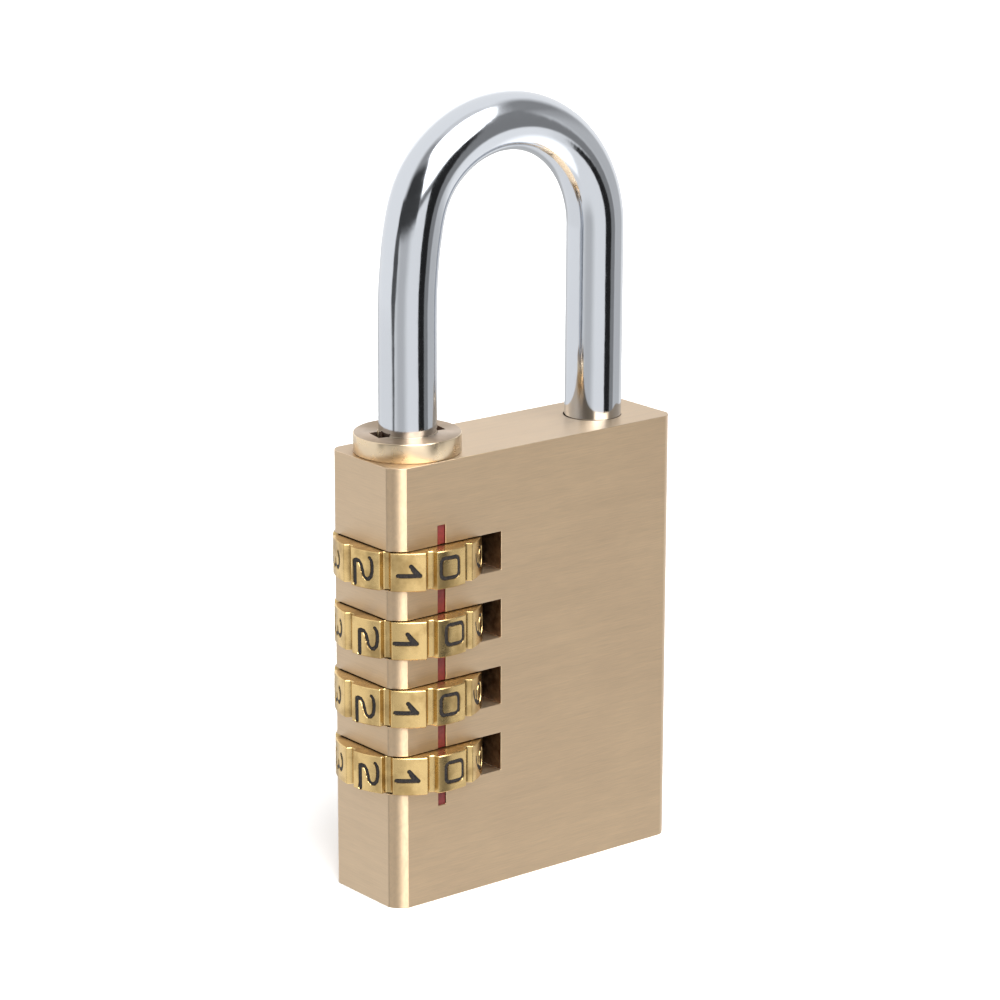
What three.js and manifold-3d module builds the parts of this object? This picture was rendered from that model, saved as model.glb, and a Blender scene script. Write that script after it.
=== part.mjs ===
// A resettable four-dial brass combination padlock with a steel shackle.
//
// Millimetres. +X runs along the front face towards the toe of the shackle, +Y to the back and
// +Z up. The origin lies on the base, under the middle of the box that body and dials fill.
// The lock is shown shut with the dials on 0-0-0-0, its opening code.
import * as THREE from "three";
import { mergeVertices } from "three/addons/utils/BufferGeometryUtils.js";
import Module from "manifold-3d";

const wasm = await Module();
wasm.setup();

// ---- Body -------------------------------------------------------------------------------
const BODY_WIDTH = 40;
const BODY_THICKNESS = 12.4;
const BODY_HEIGHT = 51.5;
const BODY_CORNER_RADIUS = 1.5;
const CORNER_STEPS = 4;

// ---- Dials, counted from the top --------------------------------------------------------
const DIAL_COUNT = 4;
const DIAL_PITCH = 7.95;
const LOWEST_DIAL_Z = 15.9;
const DIAL_RADIUS = 8.2;
const DIAL_HEIGHT = 4.3;
const DIGITS = 10;
const DIGIT_ANGLE = (2 * Math.PI) / DIGITS;
const PLATE_HALF_ANGLE = THREE.MathUtils.degToRad(13.9);
const PLATE_STEPS = 4;
const GRIP_FLOOR_RADIUS = 7.8;
const GRIP_FLOOR_HALF_WIDTH = 0.35;

// ---- Slots that the dials turn in, milled from the left through front and back ----------
const SLOT_HEIGHT = 4.5;
const SLOT_END_CLEARANCE = 0.25;
const DIAL_FLOOR_GAP = 0.06;

// ---- Lock bore down the left end of the body --------------------------------------------
const AXIS_INSET = BODY_THICKNESS / 2;
const BORE_RADIUS = 4.75;
const BORE_FLOOR_Z = 1.5;
const ROUND_STEPS = 36;

// ---- Shackle -----------------------------------------------------------------------------
const BAR_RADIUS = 3.2;
const BAR_STEPS = 24;
const LEG_SPACING = 26.8;
const ARCH_TOP_Z = 90.2;
const ARCH_STEPS = 26;
const TOE_END_Z = 46;
const TOE_CHAMFER = 0.6;
const TOE_HOLE_RADIUS = 3.45;
const TOE_HOLE_FLOOR_Z = 45.3;
const CORE_RADIUS = 2.2;
const SHOULDER_Z = 44;
const LEG_END_Z = 1.85;
const FIN_RADIUS = 3.15;
const FIN_WIDTH = 2;
const FIN_TOP = 0.1;
const FIN_HEIGHT = 2;

// ---- Retaining ring in a groove at the foot of the long leg ------------------------------
const RING_GROOVE_RADIUS = 1.6;
const RING_GROOVE_LOW_Z = 2.35;
const RING_GROOVE_HIGH_Z = 3.25;
const RING_INNER_RADIUS = 1.7;
const RING_OUTER_RADIUS = 3.5;
const RING_LOW_Z = 2.4;
const RING_THICKNESS = 0.8;
const RING_MOUTH_HALF_ANGLE = THREE.MathUtils.degToRad(38);
const RING_OUTER_STEPS = 24;
const RING_INNER_STEPS = 18;

// ---- Collar: a bush screwed in from the top with a pin spanner ---------------------------
const COLLAR_RADIUS = 6.07;
const COLLAR_STAND = 2.2;
const COLLAR_EDGE_RADIUS = 0.45;
const COLLAR_EDGE_STEPS = 3;
const COLLAR_BORE_RADIUS = 3.35;
const COLLAR_SPIGOT_RADIUS = 4.65;
const COLLAR_SPIGOT_END_Z = 43.8;
const COLLAR_SEAT_GAP = 0.02;
const SPANNER_SLOT_WIDTH = 2.6;
const SPANNER_SLOT_REACH = 4.2;
const SPANNER_SLOT_DEPTH = 1.2;
const SPANNER_SLOT_ANGLE = THREE.MathUtils.degToRad(-10);

// ---- Code sleeves, one in each dial. Heights are from the middle of the dial --------------
const SLEEVE_HALF_LENGTH = 3.9;
const SLEEVE_RADIUS = 4;
const SLEEVE_BORE_RADIUS = 3.4;
const GATE_RING_LOW = 2.1;
const GATE_RING_RADIUS = 2.35;
const GATE_WIDTH = 2.6;
const TOOTH_COUNT = 5;
const TOOTH_RADIUS = 4.6;
const TOOTH_WIDTH = 1;
const TOOTH_ROOT_RADIUS = 3.6;
const TOOTH_LOW = 0.7;
const TOOTH_HIGH = 2;
const NOTCH_LOW = 0.6;
const NOTCH_LAND_RADIUS = 4.15;
const NOTCH_ROOT_RADIUS = 4.7;
const NOTCH_WIDTH = 1.5;
const NOTCH_LAND_STEPS = 2;

// ---- Washer and spring that push the sleeves up ------------------------------------------
const WASHER_INNER_RADIUS = 2.5;
const WASHER_OUTER_RADIUS = 4.5;
const WASHER_THICKNESS = 0.6;
const WASHER_GAP = 0.05;
const SPRING_RADIUS = 4.15;
const SPRING_WIRE_RADIUS = 0.3;
const SPRING_WIRE_SIDES = 6;
const SPRING_TURNS = 6;
const SPRING_STEPS_PER_TURN = 12;
const SPRING_END_GAP = 0.05;

// ---- Click springs: a bent strip behind each dial, its nose in a grip groove --------------
const POCKET_DEPTH = 2;
const POCKET_HALF_WIDTH = 1.7;
const POCKET_HALF_HEIGHT = 1.6;
const CLICK_NOSE_REACH = 8;
const CLICK_NOSE_RADIUS = 0.5;
const CLICK_NOSE_HALF_ANGLE = THREE.MathUtils.degToRad(55);
const CLICK_NOSE_STEPS = 6;
const CLICK_STRIP_THICKNESS = 0.2;
const CLICK_HALF_HEIGHT = 1.2;
const CLICK_FOOT_GAP = 0.15;

// ---- Red index line: enamel in a groove down the front, broken by the slots ---------------
const LINE_WIDTH = 1.1;
const LINE_GROOVE_DEPTH = 0.25;
const LINE_OVERRUN_TOP = 2.25;
const LINE_OVERRUN_BOTTOM = 2.35;
const ENAMEL_THICKNESS = 0.12;
const ENAMEL_GAP = 0.02;

// ---- Places that follow from the sizes ----------------------------------------------------
const gripHalfAngle = DIGIT_ANGLE / 2 - PLATE_HALF_ANGLE;
const overhang = DIAL_RADIUS * Math.cos(gripHalfAngle) - AXIS_INSET;
const bodyLeft = overhang - (BODY_WIDTH + overhang) / 2;
const bodyRight = bodyLeft + BODY_WIDTH;
const frontY = -BODY_THICKNESS / 2;
const axisX = bodyLeft + AXIS_INSET;
const toeX = axisX + LEG_SPACING;
const archRadius = LEG_SPACING / 2;
const archCentreZ = ARCH_TOP_Z - BAR_RADIUS - archRadius;
const slotEndX = DIAL_RADIUS + SLOT_END_CLEARANCE;
const OVERCUT = 1;
const JOIN = 0.02;

const dialZ = [];
for (let i = 0; i < DIAL_COUNT; i += 1) {
  dialZ.push(LOWEST_DIAL_Z + DIAL_PITCH * (DIAL_COUNT - 1 - i));
}

// ---- Materials ----------------------------------------------------------------------------
function material(color, roughness, metalness) {
  return new THREE.MeshStandardMaterial({ color, roughness, metalness });
}
const satinBrass = material(0xbea887, 0.38, 1);
const polishedBrass = material(0xd2b478, 0.22, 1);
const chrome = material(0xd6d9de, 0.08, 1);
const springSteel = material(0x8c8f94, 0.35, 1);
const redEnamel = material(0xa53737, 0.45, 0);

// ---- Shape helpers ------------------------------------------------------------------------
function solidOf(geometry) {
  const plain = geometry.clone();
  plain.deleteAttribute("normal");
  plain.deleteAttribute("uv");
  const merged = mergeVertices(plain, 1e-4);
  return new wasm.Manifold(
    new wasm.Mesh({
      numProp: 3,
      vertProperties: new Float32Array(merged.attributes.position.array),
      triVerts: new Uint32Array(merged.index.array),
    }),
  );
}

function geometryOf(solid) {
  const mesh = solid.getMesh();
  const geometry = new THREE.BufferGeometry();
  geometry.setAttribute("position", new THREE.BufferAttribute(mesh.vertProperties, 3));
  geometry.setIndex(new THREE.BufferAttribute(mesh.triVerts, 1));
  geometry.computeVertexNormals();
  return geometry;
}

// A closed profile of [radius, height] pairs turned about the vertical axis.
function turned(profile, steps) {
  const points = profile.map(([r, z]) => new THREE.Vector2(r, z));
  points.push(points[0].clone());
  const geometry = new THREE.LatheGeometry(points, steps);
  geometry.rotateX(Math.PI / 2);
  return solidOf(geometry);
}

function rod(radius, lowZ, highZ, steps = ROUND_STEPS) {
  const geometry = new THREE.CylinderGeometry(radius, radius, highZ - lowZ, steps);
  geometry.rotateX(Math.PI / 2);
  geometry.translate(0, 0, (lowZ + highZ) / 2);
  return solidOf(geometry);
}

function block(lowX, highX, lowY, highY, lowZ, highZ) {
  const geometry = new THREE.BoxGeometry(highX - lowX, highY - lowY, highZ - lowZ);
  geometry.translate((lowX + highX) / 2, (lowY + highY) / 2, (lowZ + highZ) / 2);
  return solidOf(geometry);
}

function slab(points, lowZ, highZ, hole) {
  const shape = new THREE.Shape(points);
  if (hole) shape.holes.push(new THREE.Path(hole));
  const geometry = new THREE.ExtrudeGeometry(shape, { depth: highZ - lowZ, bevelEnabled: false });
  geometry.translate(0, 0, lowZ);
  return solidOf(geometry);
}

function polar(radius, angle) {
  return new THREE.Vector2(radius * Math.cos(angle), radius * Math.sin(angle));
}

function arcPoints(radius, from, to, steps) {
  const points = [];
  for (let i = 0; i <= steps; i += 1) {
    points.push(polar(radius, from + ((to - from) * i) / steps));
  }
  return points;
}

function circlePoints(radius, steps = ROUND_STEPS) {
  return arcPoints(radius, 0, 2 * Math.PI, steps).slice(0, steps);
}

function turnedBy(solid, angle) {
  return solid.rotate([0, 0, THREE.MathUtils.radToDeg(angle)]);
}

// ---- Body ---------------------------------------------------------------------------------
function roundedRectangle(lowX, highX, lowY, highY, radius) {
  const corners = [
    [highX - radius, lowY + radius, -Math.PI / 2],
    [highX - radius, highY - radius, 0],
    [lowX + radius, highY - radius, Math.PI / 2],
    [lowX + radius, lowY + radius, Math.PI],
  ];
  return corners.flatMap(([x, y, start]) => {
    const arc = arcPoints(radius, start, start + Math.PI / 2, CORNER_STEPS);
    return arc.map((p) => p.add(new THREE.Vector2(x, y)));
  });
}

// The stretches of the index line, top to bottom, as [low, high] heights.
function lineStretches() {
  const half = SLOT_HEIGHT / 2;
  const stretches = [[dialZ[0] + half, dialZ[0] + half + LINE_OVERRUN_TOP]];
  for (let i = 1; i < DIAL_COUNT; i += 1) {
    stretches.push([dialZ[i] + half, dialZ[i - 1] - half]);
  }
  const last = dialZ[DIAL_COUNT - 1] - half;
  stretches.push([last - LINE_OVERRUN_BOTTOM, last]);
  return stretches;
}

function lockBody() {
  const back = -frontY;
  const outline = roundedRectangle(bodyLeft, bodyRight, frontY, back, BODY_CORNER_RADIUS);
  let solid = slab(outline, 0, BODY_HEIGHT);
  const bore = rod(BORE_RADIUS, BORE_FLOOR_Z, BODY_HEIGHT + OVERCUT);
  solid = solid.subtract(bore.translate([axisX, 0, 0]));
  const toeHole = rod(TOE_HOLE_RADIUS, TOE_HOLE_FLOOR_Z, BODY_HEIGHT + OVERCUT, BAR_STEPS);
  solid = solid.subtract(toeHole.translate([toeX, 0, 0]));
  const endX = axisX + slotEndX;
  for (const z of dialZ) {
    const low = z - SLOT_HEIGHT / 2;
    const high = z + SLOT_HEIGHT / 2;
    const slot = block(bodyLeft - OVERCUT, endX, frontY - OVERCUT, back + OVERCUT, low, high);
    const pocket = block(
      endX - OVERCUT,
      endX + POCKET_DEPTH,
      -POCKET_HALF_WIDTH,
      POCKET_HALF_WIDTH,
      z - POCKET_HALF_HEIGHT,
      z + POCKET_HALF_HEIGHT,
    );
    solid = solid.subtract(slot).subtract(pocket);
  }
  const stretches = lineStretches();
  const half = LINE_WIDTH / 2;
  const lineLow = stretches[DIAL_COUNT][0];
  const lineHigh = stretches[0][1];
  const groove = [frontY - OVERCUT, frontY + LINE_GROOVE_DEPTH, lineLow, lineHigh];
  return solid.subtract(block(axisX - half, axisX + half, ...groove));
}

function indexEnamel([low, high]) {
  const half = LINE_WIDTH / 2 - ENAMEL_GAP;
  const floor = frontY + LINE_GROOVE_DEPTH - ENAMEL_GAP;
  return block(-half, half, floor - ENAMEL_THICKNESS, floor, low + ENAMEL_GAP, high - ENAMEL_GAP);
}

// ---- Collar -------------------------------------------------------------------------------
function collar() {
  const seat = BODY_HEIGHT + COLLAR_SEAT_GAP;
  const top = BODY_HEIGHT + COLLAR_STAND;
  const edge = COLLAR_EDGE_RADIUS;
  const rim = arcPoints(edge, 0, Math.PI / 2, COLLAR_EDGE_STEPS).map((p) => [
    COLLAR_RADIUS - edge + p.x,
    top - edge + p.y,
  ]);
  const bush = turned(
    [
      [COLLAR_BORE_RADIUS, COLLAR_SPIGOT_END_Z],
      [COLLAR_SPIGOT_RADIUS, COLLAR_SPIGOT_END_Z],
      [COLLAR_SPIGOT_RADIUS, seat],
      [COLLAR_RADIUS, seat],
      ...rim,
      [COLLAR_BORE_RADIUS, top],
    ],
    ROUND_STEPS,
  );
  const half = SPANNER_SLOT_WIDTH / 2;
  const reach = SPANNER_SLOT_REACH;
  const slots = block(-reach, reach, -half, half, top - SPANNER_SLOT_DEPTH, top + OVERCUT);
  return bush.subtract(turnedBy(slots, SPANNER_SLOT_ANGLE));
}

// ---- Shackle ------------------------------------------------------------------------------
class ArchCurve extends THREE.Curve {
  getPoint(t, target = new THREE.Vector3()) {
    const angle = Math.PI * (1 - t);
    const x = archRadius * (1 + Math.cos(angle));
    return target.set(x, 0, archCentreZ + archRadius * Math.sin(angle));
  }
}

function shackle() {
  const arch = new THREE.ExtrudeGeometry(new THREE.Shape(circlePoints(BAR_RADIUS, BAR_STEPS)), {
    steps: ARCH_STEPS,
    bevelEnabled: false,
    extrudePath: new ArchCurve(),
  });
  const joinZ = archCentreZ + JOIN;
  let solid = solidOf(arch).add(rod(BAR_RADIUS, SHOULDER_Z, joinZ, BAR_STEPS));
  solid = solid.add(rod(CORE_RADIUS, RING_GROOVE_HIGH_Z, SHOULDER_Z + JOIN, BAR_STEPS));
  solid = solid.add(rod(RING_GROOVE_RADIUS, LEG_END_Z, RING_GROOVE_HIGH_Z + JOIN, BAR_STEPS));
  solid = solid.add(rod(CORE_RADIUS, LEG_END_Z, RING_GROOVE_LOW_Z, BAR_STEPS));
  for (const z of dialZ) {
    const low = z + FIN_TOP - FIN_HEIGHT;
    const high = z + FIN_TOP;
    const fin = block(-FIN_RADIUS - OVERCUT, 0, -FIN_WIDTH / 2, FIN_WIDTH / 2, low, high);
    solid = solid.add(fin.intersect(rod(FIN_RADIUS, low - OVERCUT, high + OVERCUT, BAR_STEPS)));
  }
  const chamferRadius = BAR_RADIUS - TOE_CHAMFER;
  const chamferZ = TOE_END_Z + TOE_CHAMFER;
  const toe = new THREE.CylinderGeometry(BAR_RADIUS, chamferRadius, TOE_CHAMFER, BAR_STEPS);
  toe.rotateX(Math.PI / 2);
  toe.translate(0, 0, TOE_END_Z + TOE_CHAMFER / 2);
  const toeLeg = solidOf(toe).add(rod(BAR_RADIUS, chamferZ, joinZ, BAR_STEPS));
  return solid.add(toeLeg.translate([LEG_SPACING, 0, 0]));
}

function retainingRing() {
  const mouth = RING_MOUTH_HALF_ANGLE;
  const end = 2 * Math.PI - mouth;
  const outer = arcPoints(RING_OUTER_RADIUS, mouth, end, RING_OUTER_STEPS);
  const inner = arcPoints(RING_INNER_RADIUS, end, mouth, RING_INNER_STEPS);
  return slab([...outer, ...inner], RING_LOW_Z, RING_LOW_Z + RING_THICKNESS);
}

// ---- Dial ---------------------------------------------------------------------------------
function dialOutline() {
  const points = [];
  const floorHalfAngle = Math.asin(GRIP_FLOOR_HALF_WIDTH / GRIP_FLOOR_RADIUS);
  for (let digit = 0; digit < DIGITS; digit += 1) {
    const middle = -Math.PI / 2 + digit * DIGIT_ANGLE;
    const from = middle - PLATE_HALF_ANGLE;
    const to = middle + PLATE_HALF_ANGLE;
    points.push(...arcPoints(DIAL_RADIUS, from, to, PLATE_STEPS));
    const grip = middle + DIGIT_ANGLE / 2;
    points.push(polar(GRIP_FLOOR_RADIUS, grip - floorHalfAngle));
    points.push(polar(GRIP_FLOOR_RADIUS, grip + floorHalfAngle));
  }
  return points;
}

// The dial's toothed bore: ten notches that take the sleeve's teeth.
function notchOutline() {
  const points = [];
  const landHalfAngle = DIGIT_ANGLE / 2 - Math.asin(NOTCH_WIDTH / 2 / NOTCH_LAND_RADIUS);
  const rootHalfAngle = Math.asin(NOTCH_WIDTH / 2 / NOTCH_ROOT_RADIUS);
  for (let notch = 0; notch < DIGITS; notch += 1) {
    const middle = notch * DIGIT_ANGLE;
    points.push(polar(NOTCH_ROOT_RADIUS, middle - rootHalfAngle));
    points.push(polar(NOTCH_ROOT_RADIUS, middle + rootHalfAngle));
    const land = middle + DIGIT_ANGLE / 2;
    const from = land - landHalfAngle;
    const to = land + landHalfAngle;
    points.push(...arcPoints(NOTCH_LAND_RADIUS, from, to, NOTCH_LAND_STEPS));
  }
  return points;
}

function dial() {
  const low = DIAL_FLOOR_GAP - SLOT_HEIGHT / 2;
  const high = low + DIAL_HEIGHT;
  const ring = slab(dialOutline(), low, high);
  const toothedBore = slab(notchOutline(), low - OVERCUT, high + OVERCUT);
  const skirtBore = rod(BORE_RADIUS, low - OVERCUT, NOTCH_LOW);
  return ring.subtract(toothedBore).subtract(skirtBore);
}

// ---- Code sleeve --------------------------------------------------------------------------
function codeSleeve() {
  const low = -SLEEVE_HALF_LENGTH;
  const high = SLEEVE_HALF_LENGTH;
  let solid = turned(
    [
      [SLEEVE_BORE_RADIUS, low],
      [SLEEVE_RADIUS, low],
      [SLEEVE_RADIUS, high],
      [GATE_RING_RADIUS, high],
      [GATE_RING_RADIUS, GATE_RING_LOW],
      [SLEEVE_BORE_RADIUS, GATE_RING_LOW],
    ],
    ROUND_STEPS,
  );
  for (let tooth = 0; tooth < TOOTH_COUNT; tooth += 1) {
    const half = TOOTH_WIDTH / 2;
    const stub = block(TOOTH_ROOT_RADIUS, TOOTH_RADIUS, -half, half, TOOTH_LOW, TOOTH_HIGH);
    solid = solid.add(turnedBy(stub, (tooth * 2 * Math.PI) / TOOTH_COUNT));
  }
  const gateHalf = GATE_WIDTH / 2;
  const gate = block(-SLEEVE_BORE_RADIUS, 0, -gateHalf, gateHalf, 0, high + OVERCUT);
  return solid.subtract(gate);
}

// ---- Washer and main spring ---------------------------------------------------------------
const washerTopZ = dialZ[DIAL_COUNT - 1] - SLEEVE_HALF_LENGTH - WASHER_GAP;
const washerLowZ = washerTopZ - WASHER_THICKNESS;

function thrustWasher() {
  return slab(
    circlePoints(WASHER_OUTER_RADIUS),
    washerLowZ,
    washerTopZ,
    circlePoints(WASHER_INNER_RADIUS),
  );
}

class HelixCurve extends THREE.Curve {
  getPoint(t, target = new THREE.Vector3()) {
    const low = BORE_FLOOR_Z + SPRING_WIRE_RADIUS + SPRING_END_GAP;
    const high = washerLowZ - SPRING_WIRE_RADIUS - SPRING_END_GAP;
    const { x, y } = polar(SPRING_RADIUS, 2 * Math.PI * SPRING_TURNS * t);
    return target.set(x, y, low + (high - low) * t);
  }
}

function mainSpring() {
  const wire = new THREE.Shape(circlePoints(SPRING_WIRE_RADIUS, SPRING_WIRE_SIDES));
  const coil = new THREE.ExtrudeGeometry(wire, {
    steps: SPRING_TURNS * SPRING_STEPS_PER_TURN,
    bevelEnabled: false,
    extrudePath: new HelixCurve(),
  });
  return solidOf(coil);
}

// ---- Click spring -------------------------------------------------------------------------
function clickSpring() {
  const noseX = CLICK_NOSE_REACH + CLICK_NOSE_RADIUS;
  const footX = slotEndX + POCKET_DEPTH - CLICK_FOOT_GAP;
  const footY = POCKET_HALF_WIDTH - CLICK_FOOT_GAP;
  const open = Math.PI - CLICK_NOSE_HALF_ANGLE;
  const close = Math.PI + CLICK_NOSE_HALF_ANGLE;
  const shift = new THREE.Vector2(noseX, 0);
  const outer = arcPoints(CLICK_NOSE_RADIUS, open, close, CLICK_NOSE_STEPS);
  const innerRadius = CLICK_NOSE_RADIUS - CLICK_STRIP_THICKNESS;
  const inner = arcPoints(innerRadius, close, open, CLICK_NOSE_STEPS);
  const innerFootY = footY - CLICK_STRIP_THICKNESS;
  const outline = [
    new THREE.Vector2(footX, footY),
    ...outer.map((p) => p.add(shift)),
    new THREE.Vector2(footX, -footY),
    new THREE.Vector2(footX, -innerFootY),
    ...inner.map((p) => p.add(shift)),
    new THREE.Vector2(footX, innerFootY),
  ];
  return slab(outline, -CLICK_HALF_HEIGHT, CLICK_HALF_HEIGHT);
}

// ---- Assembly -----------------------------------------------------------------------------
const lock = new THREE.Group();
const stack = new THREE.Group();
stack.position.x = axisX;
lock.add(stack);

function place(group, name, solid, finish, z = 0) {
  const mesh = new THREE.Mesh(geometryOf(solid), finish);
  mesh.name = name;
  mesh.position.z = z;
  group.add(mesh);
}

place(lock, "lock_body", lockBody(), satinBrass);
place(stack, "collar", collar(), polishedBrass);
place(stack, "shackle", shackle(), chrome);
place(stack, "retaining_ring", retainingRing(), springSteel);
place(stack, "thrust_washer", thrustWasher(), springSteel);
place(stack, "main_spring", mainSpring(), springSteel);
lineStretches().forEach((stretch, i) => {
  place(stack, `index_enamel_${i + 1}`, indexEnamel(stretch), redEnamel);
});
dialZ.forEach((z, i) => {
  place(stack, `dial_${i + 1}`, dial(), polishedBrass, z);
  place(stack, `code_sleeve_${i + 1}`, codeSleeve(), satinBrass, z);
  place(stack, `click_spring_${i + 1}`, clickSpring(), springSteel, z);
});

export default lock;
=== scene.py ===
"""A brass combination padlock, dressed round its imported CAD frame.

Shapes are built in millimetres, in the frame's own axes, and scaled to metres when they become objects.
"""
import math

import bmesh
import bpy
from mathutils import Matrix, Vector, noise
from mathutils.geometry import delaunay_2d_cdt


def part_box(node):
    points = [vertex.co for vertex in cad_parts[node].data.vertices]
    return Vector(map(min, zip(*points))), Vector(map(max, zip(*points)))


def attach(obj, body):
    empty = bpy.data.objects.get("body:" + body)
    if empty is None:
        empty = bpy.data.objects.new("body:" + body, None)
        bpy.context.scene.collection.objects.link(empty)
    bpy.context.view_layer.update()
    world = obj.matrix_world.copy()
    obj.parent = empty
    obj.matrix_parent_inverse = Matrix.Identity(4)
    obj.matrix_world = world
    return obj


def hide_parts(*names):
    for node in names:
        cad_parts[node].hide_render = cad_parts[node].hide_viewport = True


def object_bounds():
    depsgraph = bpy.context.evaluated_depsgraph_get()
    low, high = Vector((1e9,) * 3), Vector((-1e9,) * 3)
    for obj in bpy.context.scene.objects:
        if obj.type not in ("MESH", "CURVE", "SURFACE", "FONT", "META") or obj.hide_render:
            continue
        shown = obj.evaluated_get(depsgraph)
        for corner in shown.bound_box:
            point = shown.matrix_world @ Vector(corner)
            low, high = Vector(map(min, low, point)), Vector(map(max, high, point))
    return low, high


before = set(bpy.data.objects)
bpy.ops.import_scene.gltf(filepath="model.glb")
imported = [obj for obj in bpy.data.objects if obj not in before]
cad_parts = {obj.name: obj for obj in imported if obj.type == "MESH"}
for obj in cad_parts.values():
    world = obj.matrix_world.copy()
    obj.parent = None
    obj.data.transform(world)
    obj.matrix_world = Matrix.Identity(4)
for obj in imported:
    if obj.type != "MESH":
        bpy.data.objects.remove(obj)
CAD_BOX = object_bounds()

MM = 0.001
TAU = 2 * math.pi
OVERCUT = 1.0      # how far a cutting solid reaches past what it cuts
WELD = 0.0005      # points closer than this become one
SKIN = 0.1         # how close to a surface still counts as on it


def rad(degrees):
    return math.radians(degrees)


def box_mm(node):
    low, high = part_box(node)
    return low / MM, high / MM


# ---- Places, read from the frame ------------------------------------------------------------
BODY_LOW, BODY_HIGH = box_mm("lock_body")
COLLAR_LOW, COLLAR_HIGH = box_mm("collar")
SHACKLE_LOW, SHACKLE_HIGH = box_mm("shackle")
DIAL_BOXES = [box_mm(f"dial_{i + 1}") for i in range(4)]
DIAL_LOW, DIAL_HIGH = DIAL_BOXES[0]
AXIS_X = (DIAL_LOW.x + DIAL_HIGH.x) / 2
FRONT_Y = BODY_LOW.y
BODY_TOP = BODY_HIGH.z
DIAL_SWELL = 0.17  # how much larger in radius the dials are drawn
DIAL_RISE = 0.06   # and how much taller
DIAL_RADIUS = DIAL_HIGH.y + DIAL_SWELL
DIAL_HEIGHT = DIAL_HIGH.z - DIAL_LOW.z + DIAL_RISE
BAR_RADIUS = SHACKLE_HIGH.y
ARCH_RADIUS = (SHACKLE_HIGH.x - SHACKLE_LOW.x) / 2 - BAR_RADIUS
ARCH_Z = SHACKLE_HIGH.z - BAR_RADIUS - ARCH_RADIUS
TOE_X = AXIS_X + 2 * ARCH_RADIUS

# ---- Sizes the frame's boxes don't give, in millimetres -------------------------------------
SIDE_SWELL = 0.25           # how far the block's ends stand outside its box
DIAL_CORNER_RADIUS = 2.75
CORNER_RADIUS = 2.3
CORNER_STEP = rad(20)       # how steeply a corner's arc meets the ground faces
CORNER_ARC_STEPS = 24
CORNER_REACH = 1.7
CORNER_CREASE = rad(8)
EDGE_BREAK = 0.06
SLOT_HEIGHT = 4.5
DIAL_FLOOR_GAP = 0.06
SLOT_REACH = 8.45
POCKET_DEPTH = 2.0
POCKET_HALF_WIDTH = 1.7
POCKET_HALF_HEIGHT = 1.6
BORE_RADIUS = 4.75
BORE_FLOOR = 1.5
TOE_HOLE_RADIUS = 3.36
TOE_HOLE_FLOOR = 45.3
LINE_WIDTH = 1.1
LINE_DEPTH = 0.25
ENAMEL_CELL = 0.15
ENAMEL_CELLS_ACROSS = 6
ENAMEL_WAVES = 2.5          # waves of unevenness per millimetre
ENAMEL_SINK = 0.03
ENAMEL_EDGE_SINK = 0.045

DIGITS = 10
DIGIT_ANGLE = TAU / DIGITS
PLATE_HALF_ANGLE = rad(13.4)
PLATE_FLAT_HALF_ANGLE = PLATE_HALF_ANGLE - rad(0.35)
PLATE_STEPS = 16
PLATE_SHOULDER = 0.05
GRIP_FLOOR_RADIUS = 7.8
GRIP_FLOOR_HALF_WIDTH = 0.3
GRIP_FLOOR_ROUND = 0.06
DIAL_EDGE_BREAK = 0.09
NOTCH_LOW = 0.6
NOTCH_LAND_RADIUS = 4.15
NOTCH_ROOT_RADIUS = 4.7
NOTCH_WIDTH = 1.5
DIAL_PLAY = [rad(-0.3), rad(-0.6), rad(-0.8), rad(-0.1)]   # turned within its click
DIAL_SLIDE = [0.06, -0.05, 0.06, 0.0]                      # moved to the left

FIGURE_HEIGHT = 2.4
FIGURE_WIDTH = 2.3
CURVE_STEPS = 10
STROKE_FLOOR = 0.185
STROKE_EDGE = 0.225
STROKE_DEPTH = 0.09

CORE_RADIUS = 2.2
SHOULDER_Z = 44.0
RING_GROOVE_RADIUS = 1.6
RING_GROOVE = (2.35, 3.25)
FIN_RADIUS = 3.15
FIN_WIDTH = 2.0
FIN_TOP = 0.1
FIN_HEIGHT = 2.0
FOOT_CHAMFER = 0.2
SHOULDER_CHAMFER = 0.15
TOE_CHAMFER = 0.6

COLLAR_RADIUS = COLLAR_HIGH.y
COLLAR_BORE = 3.37
COLLAR_SPIGOT = 4.65
COLLAR_RIM = 0.13
COLLAR_SEAT_GAP = 0.02
COLLAR_FOOT_BREAK = 0.08
COLLAR_BORE_BREAK = 0.04
COLLAR_STEPS = 144
SPANNER_SLOT = (2.6, 4.15, 1.2)
SPANNER_ANGLE = rad(-10)

SEEN_BAR_RADIUS = 3.29
BOW_RADIUS = 13.45
BOW_CENTRE_X = (AXIS_X + TOE_X) / 2 + 0.12
BOW_CENTRE_Z = ARCH_Z + 0.05
BOW_DENT = 0.57
BOW_DENT_ANGLE = rad(170)
BOW_DENT_SPREAD = rad(20)
TOE_END = 46.0
LEG_STRAIGHT = 2.0          # how far above the block both legs are straight
TOE_LEAN = 0.08             # how far the toe leg has moved out by there
BAR_SIDES = 96
LEG_STEPS = 24
BOW_STEPS = 120


# ---- Mesh helpers ---------------------------------------------------------------------------
def arc(radius, start, end, steps, centre=(0.0, 0.0)):
    """Points along an arc about centre, both ends included."""
    turns = [start + (end - start) * i / steps for i in range(steps + 1)]
    return [(centre[0] + radius * math.cos(t), centre[1] + radius * math.sin(t)) for t in turns]


def circle(radius, steps):
    return arc(radius, 0, TAU, steps)[:-1]


def ring_of(bm, points, z):
    return [bm.verts.new((x, y, z)) for x, y in points]


def bridge(bm, lower, upper):
    """Quads between two closed loops of as many points."""
    count = len(lower)
    for i in range(count):
        j = (i + 1) % count
        bm.faces.new((lower[i], lower[j], upper[j], upper[i]))


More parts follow.
